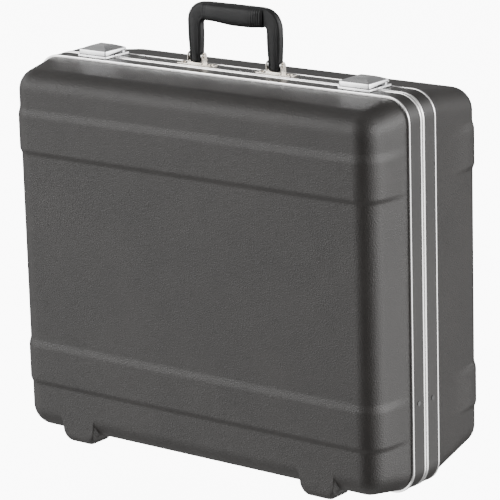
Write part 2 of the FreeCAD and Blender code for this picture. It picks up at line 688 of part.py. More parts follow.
def keeper(side, rivets):
    """The lid's plate, with the slot that the hook drops into."""
    middle = LATCH_MIDDLE[side]
    plate = slab("keeper_plate", LID, "latch_split", "latch_front", f"{middle} - latch_width / 2", TOP,
                 "latch_width", "latch_plate")
    slot = slab("keeper_slot", LID, "(latch_split + keeper_slot_length / 2)",
                "(latch_split + keeper_slot_length * 3 / 2)", f"{middle} - keeper_slot_width / 2",
                f"{TOP} + latch_plate - keeper_slot_depth", "keeper_slot_width", "latch_plate")
    return cut("keeper", plate, [slot, *rivets])


def latch_plate(side, rivets):
    """The base's plate, which reaches just over the parting plane, with two ears for the pin."""
    middle = LATCH_MIDDLE[side]
    front = "(latch_split - 2 * moving_gap)"
    plate = block("latch_base", f"{middle} - latch_width / 2", f"{PARTING} - {front}", TOP, "latch_width",
                  f"{front} + latch_back", "latch_plate")
    relief = block("latch_relief", f"{middle} - latch_width / 2", f"{PARTING} - latch_split", TOP, "latch_width",
                   "latch_split + parting_gap", "moving_gap")
    parts, bores = [plate], []
    y, z = LATCH_PIVOT
    for end in (-1, 1):
        start = f"{middle} + {end} * (cover_width / 2 - latch_ear_inset) - latch_ear / 2"
        parts.append(block("latch_ear", start, f"{y} - latch_ear_radius", f"{TOP} + latch_plate / 2", "latch_ear",
                           "2 * latch_ear_radius", "latch_pivot_height - latch_plate / 2"))
        parts.append(rod("latch_ear_top", "x", start, y, z, "latch_ear_radius", "latch_ear"))
        bores.append(rod("latch_ear_bore", "x", start, y, z, "latch_pin_radius + pin_clearance", "latch_ear"))
    return cut("latch_plate", fuse("latch_plate_solid", parts), [relief, *bores, *rivets])


def latch_cover(side):
    """The lever: a hollow, faceted cover on the pin, with a hook over the keeper's slot."""
    middle = LATCH_MIDDLE[side]
    y, z = LATCH_PIVOT
    back = "(latch_pivot_reach + cover_back)"
    body = body_at("cover", middle, PARTING, COVER_BOTTOM)
    outline = [("-cover_width / 2", "-cover_front"), ("cover_width / 2", "-cover_front"),
               ("cover_width / 2", back), ("-cover_width / 2", back)]
    pad(body, draw(sketch_on(body, "XY_Plane"), outline), "cover_rim")
    pad(body, draw(sketch_on(body, "XY_Plane", "cover_rim"), outline), "cover_crown", taper="-crown_slope")
    hollow = block("cover_hollow", f"{middle} - cover_width / 2 + cover_wall",
                   f"{PARTING} - cover_front + cover_wall", COVER_BOTTOM, "cover_width - 2 * cover_wall",
                   f"cover_front + {back} - cover_wall", "cover_rim - cover_roof")
    heel = block("cover_heel", f"{middle} - cover_width / 2", y, COVER_BOTTOM, "cover_width", "cover_back",
                 f"{z} - latch_ear_radius - {COVER_BOTTOM}")
    bore = rod("cover_bore", "x", f"{middle} - cover_width / 2", y, z, "latch_pin_radius + pin_clearance",
               "cover_width")
    hook = slab("cover_hook", LID, f"({HOOK_REACH} - hook_thickness / 2)", f"({HOOK_REACH} + hook_thickness / 2)",
                f"{middle} - hook_width / 2", COVER_BOTTOM, "hook_width", "cover_rim")
    return fuse("cover_hooked", [cut("cover_open", body, [hollow, heel, bore]), hook])


def latch_pin(side):
    return rod("latch_pin", "x", f"{LATCH_MIDDLE[side]} - cover_width / 2", *LATCH_PIVOT, "latch_pin_radius",
               "cover_width")


def latch_spring(side):
    """The coil of the torsion spring round the pin, as its outer form."""
    start = f"{LATCH_MIDDLE[side]} - spring_length / 2"
    coil = rod("spring_coil", "x", start, *LATCH_PIVOT, "spring_radius", "spring_length")
    return cut("spring", coil, [rod("spring_bore", "x", start, *LATCH_PIVOT, "latch_pin_radius + pin_clearance",
                                    "spring_length")])


# ---------------------------------------------------------------- assembly

handle()
for half in (LID, BASE):
    name = NAMES[half]
    side = SEAM_SIDE[half]
    groups = {
        f"{name}_shell_rivets": shell_rivets(half),
        f"{name}_splice_rivets": splice_rivets(half),
        f"{name}_hinge_rivets": hinge_rivets(half),
        f"{name}_latch_rivets": [part for side_name, end in SIDES for part in latch_rivets(half, end)],
    }
    for side_name, end in SIDES:
        groups[f"stay_{side_name}_{name}_rivet"] = stay_rivet(half, end)
    if half == BASE:
        groups["handle_bracket_rivets"] = [part for side_name, end in SIDES for part in bracket_rivets(end)]
    fastenings = {label: node(label, fuse(label, parts)) for label, parts in groups.items()}
    holes = list(fastenings.values())

    outline = swept(f"{name}_valance_bar", *loop_path(side), "XY_Plane", "seam_height",
                    [(f"{side} * ({SIDE} - {inset})", f"{half} * ({reach})") for inset, reach in VALANCE_PROFILE])
    node(f"{name}_valance", cut(f"{name}_valance_cut", outline, hinge_room(half) + holes))
    strip = swept(f"{name}_inlay_bar", *arch_path(), "YZ_Plane", f"{SIDE} - corner_radius",
                  [(f"{half} * ({reach})", f"{inset} - {HALF_HEIGHT}") for inset, reach in INLAY_PROFILE])
    node(f"{name}_inlay", cut(f"{name}_inlay_cut", strip, holes))
    node(f"{name}_shell", cut(f"{name}_shell_cut", shell(half), holes))
    node(f"{name}_splice_plate", cut(f"{name}_splice_cut", splice_plate(half),
                                     [fastenings[f"{name}_splice_rivets"]]))
    node(f"hinge_{name}_leaf", cut(f"{name}_leaf_cut", hinge_leaf(half), [fastenings[f"{name}_hinge_rivets"]]))
    for side_name, end in SIDES:
        label = f"latch_{side_name}"
        rivets = [fastenings[f"{name}_latch_rivets"]]
        if half == LID:
            node(f"{label}_keeper", keeper(end, rivets))
        else:
            node(f"{label}_plate", latch_plate(end, rivets))
            node(f"{label}_cover", latch_cover(end))
            node(f"{label}_pin", latch_pin(end))
            node(f"{label}_spring", latch_spring(end))
            bracket(side_name, end, [fastenings["handle_bracket_rivets"]])
        node(f"stay_{side_name}_{name}_arm", stay_arm(half, end))
        node(f"stay_{side_name}_{name}_elbow", fuse("elbow", elbow_rivet(half, end)))

node("hinge_pin", rod("hinge_pin", "x", f"-{HINGE_LENGTH} / 2", PARTING, HINGE_AXIS, "hinge_pin_radius",
                      HINGE_LENGTH))

doc.recompute()
failed = [part.Label for part in doc.Objects if "Invalid" in part.State or "Error" in part.State]
broken = [part.Label for part in nodes if part.Shape.isNull() or not part.Shape.isValid()]
if failed or broken:
    raise RuntimeError(f"failed features {failed}, bad shapes {broken}")

os.makedirs("parts", exist_ok=True)
for part in nodes:
    part.Shape.exportStep(f"parts/{part.Label}.step")
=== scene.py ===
import fnmatch
import math

import bmesh
import bpy
from mathutils import Matrix, Vector


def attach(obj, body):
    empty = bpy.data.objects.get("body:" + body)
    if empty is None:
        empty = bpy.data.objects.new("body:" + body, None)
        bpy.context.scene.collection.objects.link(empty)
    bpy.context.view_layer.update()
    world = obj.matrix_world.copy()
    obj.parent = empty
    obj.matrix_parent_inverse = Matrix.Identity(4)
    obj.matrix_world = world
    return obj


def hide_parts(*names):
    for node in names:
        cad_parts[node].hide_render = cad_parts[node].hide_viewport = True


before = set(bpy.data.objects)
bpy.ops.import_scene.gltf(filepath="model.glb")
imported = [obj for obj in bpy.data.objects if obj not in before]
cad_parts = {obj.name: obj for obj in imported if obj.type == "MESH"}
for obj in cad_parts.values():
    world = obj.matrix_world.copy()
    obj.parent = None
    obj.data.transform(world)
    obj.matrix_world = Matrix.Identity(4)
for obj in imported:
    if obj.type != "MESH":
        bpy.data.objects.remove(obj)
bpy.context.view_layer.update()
MM = 0.001

# Millimetres until a point becomes a vertex. The lid is towards -Y, and +Z is up from the feet's soles.
# A reach is a distance from the parting plane, and an inset one inwards from the frame's outermost line.
PARTING = -26.0
TOP = 472.0
HALF_W, HALF_H, MID_Z = 276.5, 235.0, 237.0
CORNER = 30.0
DEPTH = {"lid": 90.0, "base": 142.0}
TURN = {"lid": -1.0, "base": 1.0}

# Shells
DRAFT = math.radians(8.0)
LEAN = math.tan(DRAFT)
DRAFT_START = 25.4
EDGE_REACH = 4.4
COLLAR_STEP = 0.5
SHELL_INSET, SHELL_WALL, EDGE_RADIUS = 2.5, 3.5, 26.0
BANDS = ((68.5, 118.5), (360.0, 410.0))
BAND_PROUD = 2.45
BAND_OVER, BAND_UNDER = 6.0, 4.2
BAND_FADE = 46.0
BAND_ON_WALL = 0.9
FOOT_X, FOOT_HALF, FOOT_ROUND, FOOT_LENGTH = 182.5, 24.0, 11.0, 34.0
FOOT_SLOPE, FOOT_RAMP, FOOT_BALL, FOOT_TOP = 2.4, 2.0, 9.0, -150.0

# Frame: middle and half width of each bead, and how far its crest stands up
BEADS = ((2.575, 2.425), (25.3, 2.1))
BEAD_CREST = 1.1

# Handle and its brackets
HANDLE_Y = PARTING + 14.1
PIVOT_Z = TOP + 10.5
LEG_X, LEG_HALF, LEG_THICK, LEG_END = 59.0, 10.0, 5.5, 475.0
BOW, INNER_BOW, CREST = 24.0, 8.0, 548.9
BOW_X, BOW_Z = LEG_X + LEG_HALF - BOW, CREST - BOW
INNER_X, INNER_Z = LEG_X - LEG_HALF - INNER_BOW, CREST - 2.0 * LEG_HALF - INNER_BOW
SLEEVE_END, SLEEVE_TOP, SLEEVE_MIDDLE = 45.5, 549.4, 538.0

# Latches
LATCH_X = 195.5
LATCH_HALF = 22.45
LATCH_PIVOT = 18.0


def smoothstep(low, high, value):
    t = min(1.0, max(0.0, (value - low) / (high - low)))
    return t * t * (3.0 - 2.0 * t)


# ---------------------------------------------------------------- materials

def node_group(name, inputs, outputs):
    """An empty node group with float or colour sockets."""
    group = bpy.data.node_groups.new(name, "ShaderNodeTree")
    for label, kind, value in inputs:
        socket = group.interface.new_socket(label, in_out="INPUT", socket_type=kind)
        if value is not None:
            socket.default_value = value
    for label, kind in outputs:
        group.interface.new_socket(label, in_out="OUTPUT", socket_type=kind)
    return group, group.nodes.new("NodeGroupInput"), group.nodes.new("NodeGroupOutput")


def add(tree, kind, **settings):
    node = tree.nodes.new(kind)
    for key, value in settings.items():
        if key in node.inputs:
            node.inputs[key].default_value = value
        else:
            setattr(node, key, value)
    return node


def math_node(tree, operation, a, b=None, clamp=False):
    node = tree.nodes.new("ShaderNodeMath")
    node.operation = operation
    node.use_clamp = clamp
    for index, value in enumerate((a, b)):
        if value is None:
            continue
        if isinstance(value, (int, float)):
            node.inputs[index].default_value = value
        else:
            tree.links.new(value, node.inputs[index])
    return node.outputs[0]


def mapped(tree, value, low, high, to_low, to_high):
    node = tree.nodes.new("ShaderNodeMapRange")
    tree.links.new(value, node.inputs["Value"])
    for key, number in (("From Min", low), ("From Max", high), ("To Min", to_low), ("To Max", to_high)):
        node.inputs[key].default_value = number
    return node.outputs[0]


def grain_group():
    """Leather-like grain: pebbles with fine creases between them, and slow unevenness."""
    group, start, end = node_group(
        "leather_grain",
        [("Vector", "NodeSocketVector", None), ("Scale", "NodeSocketFloat", 420.0)],
        [("Height", "NodeSocketFloat"), ("Mottle", "NodeSocketFloat")])
    link = group.links.new
    warp = add(group, "ShaderNodeTexNoise", Detail=2.0)
    link(start.outputs["Vector"], warp.inputs["Vector"])
    link(math_node(group, "MULTIPLY", start.outputs["Scale"], 0.5), warp.inputs["Scale"])
    shift = group.nodes.new("ShaderNodeVectorMath")
    shift.operation = "MULTIPLY_ADD"
    link(warp.outputs["Color"], shift.inputs[0])
    shift.inputs[1].default_value = (0.0016, 0.0016, 0.0016)
    link(start.outputs["Vector"], shift.inputs[2])
    cells = add(group, "ShaderNodeTexVoronoi", feature="DISTANCE_TO_EDGE")
    link(shift.outputs[0], cells.inputs["Vector"])
    link(start.outputs["Scale"], cells.inputs["Scale"])
    pebble = math_node(group, "POWER", mapped(group, cells.outputs["Distance"], 0.0, 0.42, 0.0, 1.0), 0.6)
    fine = add(group, "ShaderNodeTexNoise", Detail=4.0, Roughness=0.6)
    link(start.outputs["Vector"], fine.inputs["Vector"])
    link(math_node(group, "MULTIPLY", start.outputs["Scale"], 2.2), fine.inputs["Scale"])
    height = math_node(group, "ADD", pebble, math_node(group, "MULTIPLY", fine.outputs["Fac"], 0.35))
    link(height, end.inputs["Height"])
    slow = add(group, "ShaderNodeTexNoise", Scale=14.0, Detail=3.0)
    link(start.outputs["Vector"], slow.inputs["Vector"])
    link(slow.outputs["Fac"], end.inputs["Mottle"])
    return group


def brushed_group():
    """Fine lines along one axis, for drawn or brushed metal."""
    group, start, end = node_group(
        "brushed_lines",
        [("Vector", "NodeSocketVector", None), ("Stretch", "NodeSocketVector", (1.0, 1.0, 1.0))],
        [("Height", "NodeSocketFloat"), ("Smudge", "NodeSocketFloat")])
    link = group.links.new
    scaled = group.nodes.new("ShaderNodeVectorMath")
    scaled.operation = "MULTIPLY"
    link(start.outputs["Vector"], scaled.inputs[0])
    link(start.outputs["Stretch"], scaled.inputs[1])
    lines = add(group, "ShaderNodeTexNoise", Scale=900.0, Detail=3.0, Roughness=0.55)
    link(scaled.outputs[0], lines.inputs["Vector"])
    link(lines.outputs["Fac"], end.inputs["Height"])
    smudge = add(group, "ShaderNodeTexNoise", Scale=60.0, Detail=4.0)
    link(start.outputs["Vector"], smudge.inputs["Vector"])
    link(smudge.outputs["Fac"], end.inputs["Smudge"])
    return group


def dust_group():
    """Dust that settles on faces that look up, broken up by noise."""
    group, start, end = node_group(
        "settled_dust",
        [("Vector", "NodeSocketVector", None), ("Normal", "NodeSocketVector", None),
         ("Amount", "NodeSocketFloat", 0.1)],
        [("Mask", "NodeSocketFloat")])
    link = group.links.new
    split = group.nodes.new("ShaderNodeSeparateXYZ")
    link(start.outputs["Normal"], split.inputs[0])
    up = mapped(group, split.outputs["Z"], 0.2, 1.0, 0.0, 1.0)
    noise = add(group, "ShaderNodeTexNoise", Scale=180.0, Detail=5.0, Roughness=0.65)
    link(start.outputs["Vector"], noise.inputs["Vector"])
    specks = mapped(group, noise.outputs["Fac"], 0.42, 0.75, 0.0, 1.0)
    link(math_node(group, "MULTIPLY", math_node(group, "MULTIPLY", up, specks), start.outputs["Amount"]),
         end.inputs["Mask"])
    return group


GRAIN, BRUSHED, DUST = grain_group(), brushed_group(), dust_group()


def material(name, color, roughness, metallic=0.0, specular=0.5, coat=0.0):
    """A new material with its shader and object coordinates."""
    made = bpy.data.materials.new(name)
    made.use_nodes = True
    tree = made.node_tree
    shader = tree.nodes["Principled BSDF"]
    shader.inputs["Base Color"].default_value = (*color, 1.0)
    shader.inputs["Roughness"].default_value = roughness
    shader.inputs["Metallic"].default_value = metallic
    shader.inputs["Specular IOR Level"].default_value = specular
    shader.inputs["Coat Weight"].default_value = coat
    shader.inputs["Coat Roughness"].default_value = 0.25
    coordinates = tree.nodes.new("ShaderNodeTexCoord")
    return made, tree, shader, coordinates.outputs["Object"]


def bumped(tree, shader, height, strength, distance):
    bump = add(tree, "ShaderNodeBump", Strength=strength, Distance=distance)
    tree.links.new(height, bump.inputs["Height"])
    tree.links.new(bump.outputs[0], shader.inputs["Normal"])


def tinted(tree, shader, factor, dark, light):
    """Colour between two tones by a factor."""
    mix = tree.nodes.new("ShaderNodeMix")
    mix.data_type = "RGBA"
    tree.links.new(factor, mix.inputs[0])
    mix.inputs[6].default_value = (*dark, 1.0)
    mix.inputs[7].default_value = (*light, 1.0)
    tree.links.new(mix.outputs[2], shader.inputs["Base Color"])
    return mix


def grained(name, dark, light, roughness, scale, strength, distance, specular=0.5, dust=0.0):
    """Moulded plastic or leather with grain, uneven tone and a little dust on top."""
    made, tree, shader, place = material(name, light, roughness, specular=specular)
    grain = tree.nodes.new("ShaderNodeGroup")
    grain.node_tree = GRAIN
    grain.inputs["Scale"].default_value = scale
    tree.links.new(place, grain.inputs["Vector"])
    bumped(tree, shader, grain.outputs["Height"], strength, distance)
    tone = mapped(tree, grain.outputs["Mottle"], 0.35, 0.65, 0.0, 1.0)
    mix = tinted(tree, shader, tone, dark, light)
    tree.links.new(mapped(tree, grain.outputs["Height"], 0.0, 1.3, roughness + 0.10, roughness - 0.05),
                   shader.inputs["Roughness"])
    if dust:
        settled = tree.nodes.new("ShaderNodeGroup")
        settled.node_tree = DUST
        settled.inputs["Amount"].default_value = dust
        tree.links.new(place, settled.inputs["Vector"])
        geometry = tree.nodes.new("ShaderNodeNewGeometry")
        tree.links.new(geometry.outputs["Normal"], settled.inputs["Normal"])
        over = tree.nodes.new("ShaderNodeMix")
        over.data_type = "RGBA"
        tree.links.new(settled.outputs[0], over.inputs[0])
        tree.links.new(mix.outputs[2], over.inputs[6])
        over.inputs[7].default_value = (0.42, 0.41, 0.39, 1.0)
        tree.links.new(over.outputs[2], shader.inputs["Base Color"])
    return made


def metal(name, dark, light, roughness, stretch, strength=0.06):
    """Drawn, plated or brushed metal with faint lines and smudges."""
    made, tree, shader, place = material(name, light, roughness, metallic=1.0)
    lines = tree.nodes.new("ShaderNodeGroup")
    lines.node_tree = BRUSHED
    lines.inputs["Stretch"].default_value = stretch
    tree.links.new(place, lines.inputs["Vector"])
    bumped(tree, shader, lines.outputs["Height"], strength, 0.0002)
    tone = mapped(tree, lines.outputs["Smudge"], 0.3, 0.7, 0.0, 1.0)
    tinted(tree, shader, tone, dark, light)
    tree.links.new(mapped(tree, lines.outputs["Smudge"], 0.3, 0.7, roughness + 0.06, roughness - 0.03),
                   shader.inputs["Roughness"])
    return made


def beaded(made):
    """Rounds the light on the valance's beads, whose crests lie at fixed distances from the parting plane."""
    tree = made.node_tree
    bump = next(node for node in tree.nodes if node.bl_idname == "ShaderNodeBump")
    lines = bump.inputs["Height"].links[0].from_socket
    split = tree.nodes.new("ShaderNodeSeparateXYZ")
    place = next(node for node in tree.nodes if node.bl_idname == "ShaderNodeTexCoord").outputs["Object"]
    tree.links.new(place, split.inputs[0])
    reach = math_node(tree, "ABSOLUTE", math_node(tree, "SUBTRACT", split.outputs["Y"], PARTING * MM), 0.0)
    total = math_node(tree, "MULTIPLY", lines, 0.012)
    for middle, half_width in BEADS:
        across = math_node(tree, "DIVIDE", math_node(tree, "SUBTRACT", reach, middle * MM), half_width * MM)
        left = math_node(tree, "SUBTRACT", 1.0, math_node(tree, "MULTIPLY", across, across), clamp=True)
        total = math_node(tree, "ADD", total, left)
    tree.links.new(total, bump.inputs["Height"])
    bump.inputs["Strength"].default_value = 1.0
    bump.inputs["Distance"].default_value = BEAD_CREST * MM
    return made


MATERIALS = {
    "moulded_shell": grained("moulded_shell", (0.0125, 0.0105, 0.0092), (0.0180, 0.0155, 0.0138), 0.36, 400.0, 0.32,
                             0.0008, specular=0.5, dust=0.02),
    "shell_inside": grained("shell_inside", (0.022, 0.022, 0.023), (0.03, 0.03, 0.03), 0.6, 700.0, 0.2, 0.0004,
                            specular=0.4),
    "inlay_strip": grained("inlay_strip", (0.020, 0.018, 0.017), (0.028, 0.026, 0.024), 0.34, 1200.0, 0.12, 0.0002,
                           specular=0.45),
    "handle_leather": grained("handle_leather", (0.0035, 0.0035, 0.0038), (0.006, 0.006, 0.0065), 0.33, 800.0, 0.4,
                              0.0004, specular=0.32),
    "frame_aluminium": beaded(metal("frame_aluminium", (0.86, 0.85, 0.84), (0.97, 0.96, 0.95), 0.24,
                                    (0.2, 1.0, 0.2))),
    "plated_latch": metal("plated_latch", (0.78, 0.78, 0.79), (0.95, 0.95, 0.96), 0.27, (1.0, 0.1, 1.0), 0.04),
    "nickel_bracket": metal("nickel_bracket", (0.62, 0.57, 0.50), (0.86, 0.81, 0.74), 0.22, (0.2, 1.0, 1.0)),
    "hinge_steel": metal("hinge_steel", (0.48, 0.48, 0.48), (0.64, 0.64, 0.64), 0.34, (0.1, 1.0, 1.0), 0.12),
    "stay_steel": metal("stay_steel", (0.46, 0.46, 0.45), (0.62, 0.62, 0.60), 0.36, (1.0, 1.0, 0.1), 0.12),
    "rivet_aluminium": metal("rivet_aluminium", (0.52, 0.52, 0.52), (0.74, 0.74, 0.73), 0.30, (1.0, 1.0, 1.0)),
    "blackened_steel": metal("blackened_steel", (0.05, 0.05, 0.05), (0.12, 0.12, 0.12), 0.30, (1.0, 1.0, 1.0)),
    "thread": grained("thread", (0.012, 0.012, 0.012), (0.03, 0.03, 0.03), 0.6, 3000.0, 0.5, 0.0003),
}


# ---------------------------------------------------------------- mesh helpers

def finish_object(name, made, looks, body, replaces=(), sharp=38.0):
    """Closes a bmesh into an object that rides on a body, smooth but for edges over the sharp angle."""
    bmesh.ops.remove_doubles(made, verts=made.verts, dist=1e-6)
    bmesh.ops.dissolve_degenerate(made, dist=1e-7, edges=made.edges)
    bmesh.ops.recalc_face_normals(made, faces=made.faces)
    for face in made.faces:
        face.smooth = True
    limit = math.radians(sharp)
    for edge in made.edges:
        if len(edge.link_faces) == 2 and edge.calc_face_angle(0.0) > limit:
            edge.smooth = False
    mesh = bpy.data.meshes.new(name)
    made.to_mesh(mesh)
    made.free()
    piece = bpy.data.objects.new(name, mesh)
    bpy.context.scene.collection.objects.link(piece)
    for look in looks:
        mesh.materials.append(MATERIALS[look])
    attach(piece, body)
    if replaces:
        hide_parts(*replaces)
    return piece


def stack(made, rings, close=True, cap_start=False, cap_end=False, material_index=0):
    """Skins a list of rings of points, in millimetres, with quads."""
    rows = [[made.verts.new(Vector(point) * MM) for point in ring] for ring in rings]
    count = len(rows[0])
    for near, far in zip(rows, rows[1:]):
        for index in range(count if close else count - 1):
            after = (index + 1) % count
            face = made.faces.new((near[index], near[after], far[after], far[index]))
            face.material_index = material_index
    for wanted, row in ((cap_start, rows[0]), (cap_end, rows[-1])):
        if wanted:
            made.faces.new(row).material_index = material_index
    return rows


def spaced(stops):
    """Values from (start, stop, steps) runs, without repeats."""
    values = []
    for start, stop, steps in stops:
        values += [start + (stop - start) * step / steps for step in range(steps)]
    return values + [stops[-1][1]]


# ---------------------------------------------------------------- shells

def band_rows(limit):
    """Heights from mid-height at which the shell's side has a row, close together at the bands' edges."""
    edges = sorted(edge - HALF_H for band in BANDS for edge in band)
    rows = {-limit, limit}
    for edge in edges:
        for step in range(-7, 8):
            if abs(edge + 1.2 * step) < limit - 1.0:
                rows.add(edge + 1.2 * step)
    marks = sorted(rows)
    for low, high in zip(marks, marks[1:]):
        gaps = int((high - low) // 16.0)
        for step in range(1, gaps + 1):
            rows.add(low + (high - low) * step / (gaps + 1))
    return sorted(rows)


def foot_columns(limit):
    """Places across the shell at which it has a column, close together at the feet's sides."""
    columns = {-limit, limit, 0.0}
    for side in (-1.0, 1.0):
        for shift in (28.0, 26.4, 25.4, 24.6, 24.0, 23.6, 22.8, 21.6, 20.0, 18.0, 15.6, 13.0, 6.0, 0.0):
            for end in (-1.0, 1.0):
                columns.add(side * FOOT_X + end * shift)
    marks = sorted(columns)
    for low, high in zip(marks, marks[1:]):
        gaps = int((high - low) // 18.0)
        for step in range(1, gaps + 1):
            columns.add(low + (high - low) * step / (gaps + 1))
    return sorted(columns)


def ring_points(half_w, half_h, radius, rows, columns, flat):
    """One ring of (x, z, out_x, out_z): rows up the right side, over the top, down the left, back below.
    flat is the straight half length (x, z) that the first and last row and column are stretched to."""
    points = []
    fx, fz = flat
    cols = [max(-fx, min(fx, c)) for c in columns[1:-1]]
    cols = [-fx, *cols, fx]
    lines = [max(-fz, min(fz, r)) for r in rows[1:-1]]
    lines = [-fz, *lines, fz]
    steps = 9

    def corner(cx, cz, start):
        for step in range(1, steps):
            angle = start + math.pi / 2 * step / steps
            out = (math.cos(angle), math.sin(angle))
            points.append((cx + radius * out[0], cz + radius * out[1], *out))

    points += [(half_w, z, 1.0, 0.0) for z in lines]
    corner(fx, fz, 0.0)
    points += [(x, half_h, 0.0, 1.0) for x in reversed(cols)]
    corner(-fx, fz, math.pi / 2)
    points += [(-half_w, z, -1.0, 0.0) for z in reversed(lines)]
    corner(-fx, -fz, math.pi)
    points += [(x, -half_h, 0.0, -1.0) for x in cols]
    corner(fx, -fz, math.pi * 1.5)
    return points


def band_height(z):
    """How far the bands stand proud at a height from mid-height."""
    proud = 0.0
    for low, high in BANDS:
        low, high = low - HALF_H, high - HALF_H
        proud += smoothstep(low - BAND_UNDER, low + BAND_UNDER, z) - smoothstep(high - BAND_OVER, high + BAND_OVER, z)
    return BAND_PROUD * proud


def foot_share(x, along):
    """How much of a foot there is across the shell's underside, and the height of its sole."""
    off = abs(abs(x) - FOOT_X)
    share = 1.0 - smoothstep(FOOT_HALF, FOOT_HALF + FOOT_SLOPE, off)
    over = max(0.0, min(off, FOOT_HALF) - (FOOT_HALF - FOOT_ROUND))
    sole = -HALF_H - 1.95 + FOOT_ROUND - math.sqrt(FOOT_ROUND ** 2 - over ** 2)
    return share * along, sole


def shell_rings(inset, step, depth, edge_radius, outside, rows, columns):
    """Rings of one face of the shell from its edge inside the frame, over the wall, to the panel."""
    tangent = depth - edge_radius + edge_radius * math.sin(DRAFT)
    straight_end, start = (25.0, 25.2) if outside else (25.6, 25.8)
    profile = [(reach, inset + step, 0.0, "collar") for reach in (EDGE_REACH, 12.0, straight_end)]
    foot_start = depth - FOOT_LENGTH
    if outside:
        stops = [(start, foot_start - FOOT_RAMP, 6), (foot_start - FOOT_RAMP, foot_start + FOOT_RAMP, 5),
                 (foot_start + FOOT_RAMP, tangent, 4)]
    else:
        stops = [(start, tangent, 8)]
    profile += [(reach, inset + (reach - DRAFT_START) * LEAN, 0.0, "wall") for reach in spaced(stops)]
    center = inset + (tangent - DRAFT_START) * LEAN + edge_radius * math.cos(DRAFT)
    for index in range(1, 15):
        turn = index / 14
        angle = DRAFT + (math.pi / 2 - DRAFT) * turn
        profile.append((depth - edge_radius + edge_radius * math.sin(angle),
                        center - edge_radius * math.cos(angle), turn, "edge"))
    profile.append((depth, center + 2.2, 1.0, "panel"))
    rings = []
    for reach, inward, turn, kind in profile:
        half_w, half_h = HALF_W - inward, HALF_H - inward
        lean = (min(max(reach, DRAFT_START), tangent) - DRAFT_START) * LEAN
        flat = (HALF_W - CORNER - lean, HALF_H - CORNER - lean)
        if kind == "panel":
            flat = (half_w, half_h)
        rings.append((reach, turn, kind,
                      ring_points(half_w, half_h, max(0.0, half_w - flat[0]), rows, columns, flat)))
    return rings, tangent


def foot_edge(turn, sole, depth, tangent):
    """Reach and height of a foot's outline where the shell's wall turns into its panel."""
    if turn < 0.3:
        return tangent + (depth - FOOT_BALL - tangent) * turn / 0.3, sole
    if turn < 0.75:
        angle = math.pi / 2 * (turn - 0.3) / 0.45
        return depth - FOOT_BALL + FOOT_BALL * math.sin(angle), sole + FOOT_BALL - FOOT_BALL * math.cos(angle)
    end_z = -HALF_H + SHELL_INSET + (tangent - DRAFT_START) * LEAN + 25.7
    return depth, sole + FOOT_BALL + (end_z - sole - FOOT_BALL) * (turn - 0.75) / 0.25


def shaped(point, reach, turn, kind, half, depth, tangent, outside):
    """A ring point in space, with the bands and the feet worked in."""
    x, z, out_x, out_z = point
    if outside and kind != "collar":
        if kind == "wall":
            x += out_x * band_height(z) * abs(out_x) * smoothstep(tangent - BAND_FADE, tangent, reach) * BAND_ON_WALL
        elif kind == "edge":
            lift = band_height(z)
            swing = math.pi / 2 * turn
            x += out_x * lift * math.cos(swing) * BAND_ON_WALL
            reach += lift * math.sin(swing)
        else:
            reach += band_height(z)
        if z < FOOT_TOP and out_z < -0.5:
            foot_start = depth - FOOT_LENGTH
            if kind == "wall":
                share, sole = foot_share(x, smoothstep(foot_start - FOOT_RAMP, foot_start + FOOT_RAMP, reach))
                z += (sole - z) * share
            elif kind == "edge":
                share, sole = foot_share(x, 1.0)
                to_reach, to_z = foot_edge(turn, sole, depth, tangent)
                reach += (to_reach - reach) * share
                z += (to_z - z) * share
    return (x, PARTING + TURN[half] * reach, MID_Z + z)


def panel_grid(made, ring, rows, columns, half, depth, outside, material_index):
    """Fills the end panel with a grid between the last ring's runs."""
    count_r, count_c, steps = len(rows), len(columns), 8
    right = ring[:count_r]
    top = ring[count_r + steps:count_r + steps + count_c]
    left = ring[count_r + 2 * steps + count_c:2 * count_r + 2 * steps + count_c]
    low = ring[2 * count_r + 3 * steps + count_c:2 * count_r + 3 * steps + 2 * count_c]
    top = list(reversed(top))
    left = list(reversed(left))
    grid = [[None] * count_c for _ in rows]
    for r in range(count_r):
        grid[r][0], grid[r][-1] = left[r], right[r]
    for c in range(count_c):
        grid[0][c], grid[-1][c] = low[c], top[c]
    for r in range(1, count_r - 1):
        for c in range(1, count_c - 1):
            x, z = low[c].co.x, right[r].co.z
            lift = band_height(z / MM - MID_Z) if outside else 0.0
            y = (PARTING + TURN[half] * (depth + lift)) * MM
            grid[r][c] = made.verts.new((x, y, z))
    for r in range(count_r - 1):
        for c in range(count_c - 1):
            corners = []
            for vert in (grid[r][c], grid[r][c + 1], grid[r + 1][c + 1], grid[r + 1][c]):
                if vert not in corners:
                    corners.append(vert)
            if len(corners) > 2:
                made.faces.new(corners).material_index = material_index


def shell(half):
    """One moulded shell, both faces."""
    depth = DEPTH[half]
    lean = (depth - 25.0 - DRAFT_START) * LEAN
    rows, columns = band_rows(HALF_H - CORNER - lean), foot_columns(HALF_W - CORNER - lean)
    made = bmesh.new()
    edges = []
    for outside, inset, step, deep, edge in (
            (True, SHELL_INSET, COLLAR_STEP, depth, EDGE_RADIUS),
            (False, SHELL_INSET + SHELL_WALL + COLLAR_STEP, -COLLAR_STEP, depth - SHELL_WALL, EDGE_RADIUS - 4.0)):
        rings, tangent = shell_rings(inset, step, deep, edge, outside, rows, columns)
        placed = [[shaped(point, reach, turn, kind, half, deep, tangent, outside) for point in ring]
                  for reach, turn, kind, ring in rings]
        skinned = stack(made, placed, material_index=0 if outside else 1)
        edges.append(skinned[0])
        panel_grid(made, skinned[-1], rows, columns, half, deep, outside, 0 if outside else 1)
    count = len(edges[0])
    for index in range(count):
        after = (index + 1) % count
        made.faces.new((edges[0][index], edges[1][index], edges[1][after], edges[0][after]))
    return finish_object(f"{half}_moulding", made, ["moulded_shell", "shell_inside"], half,
                         replaces=(f"{half}_shell",), sharp=50.0)


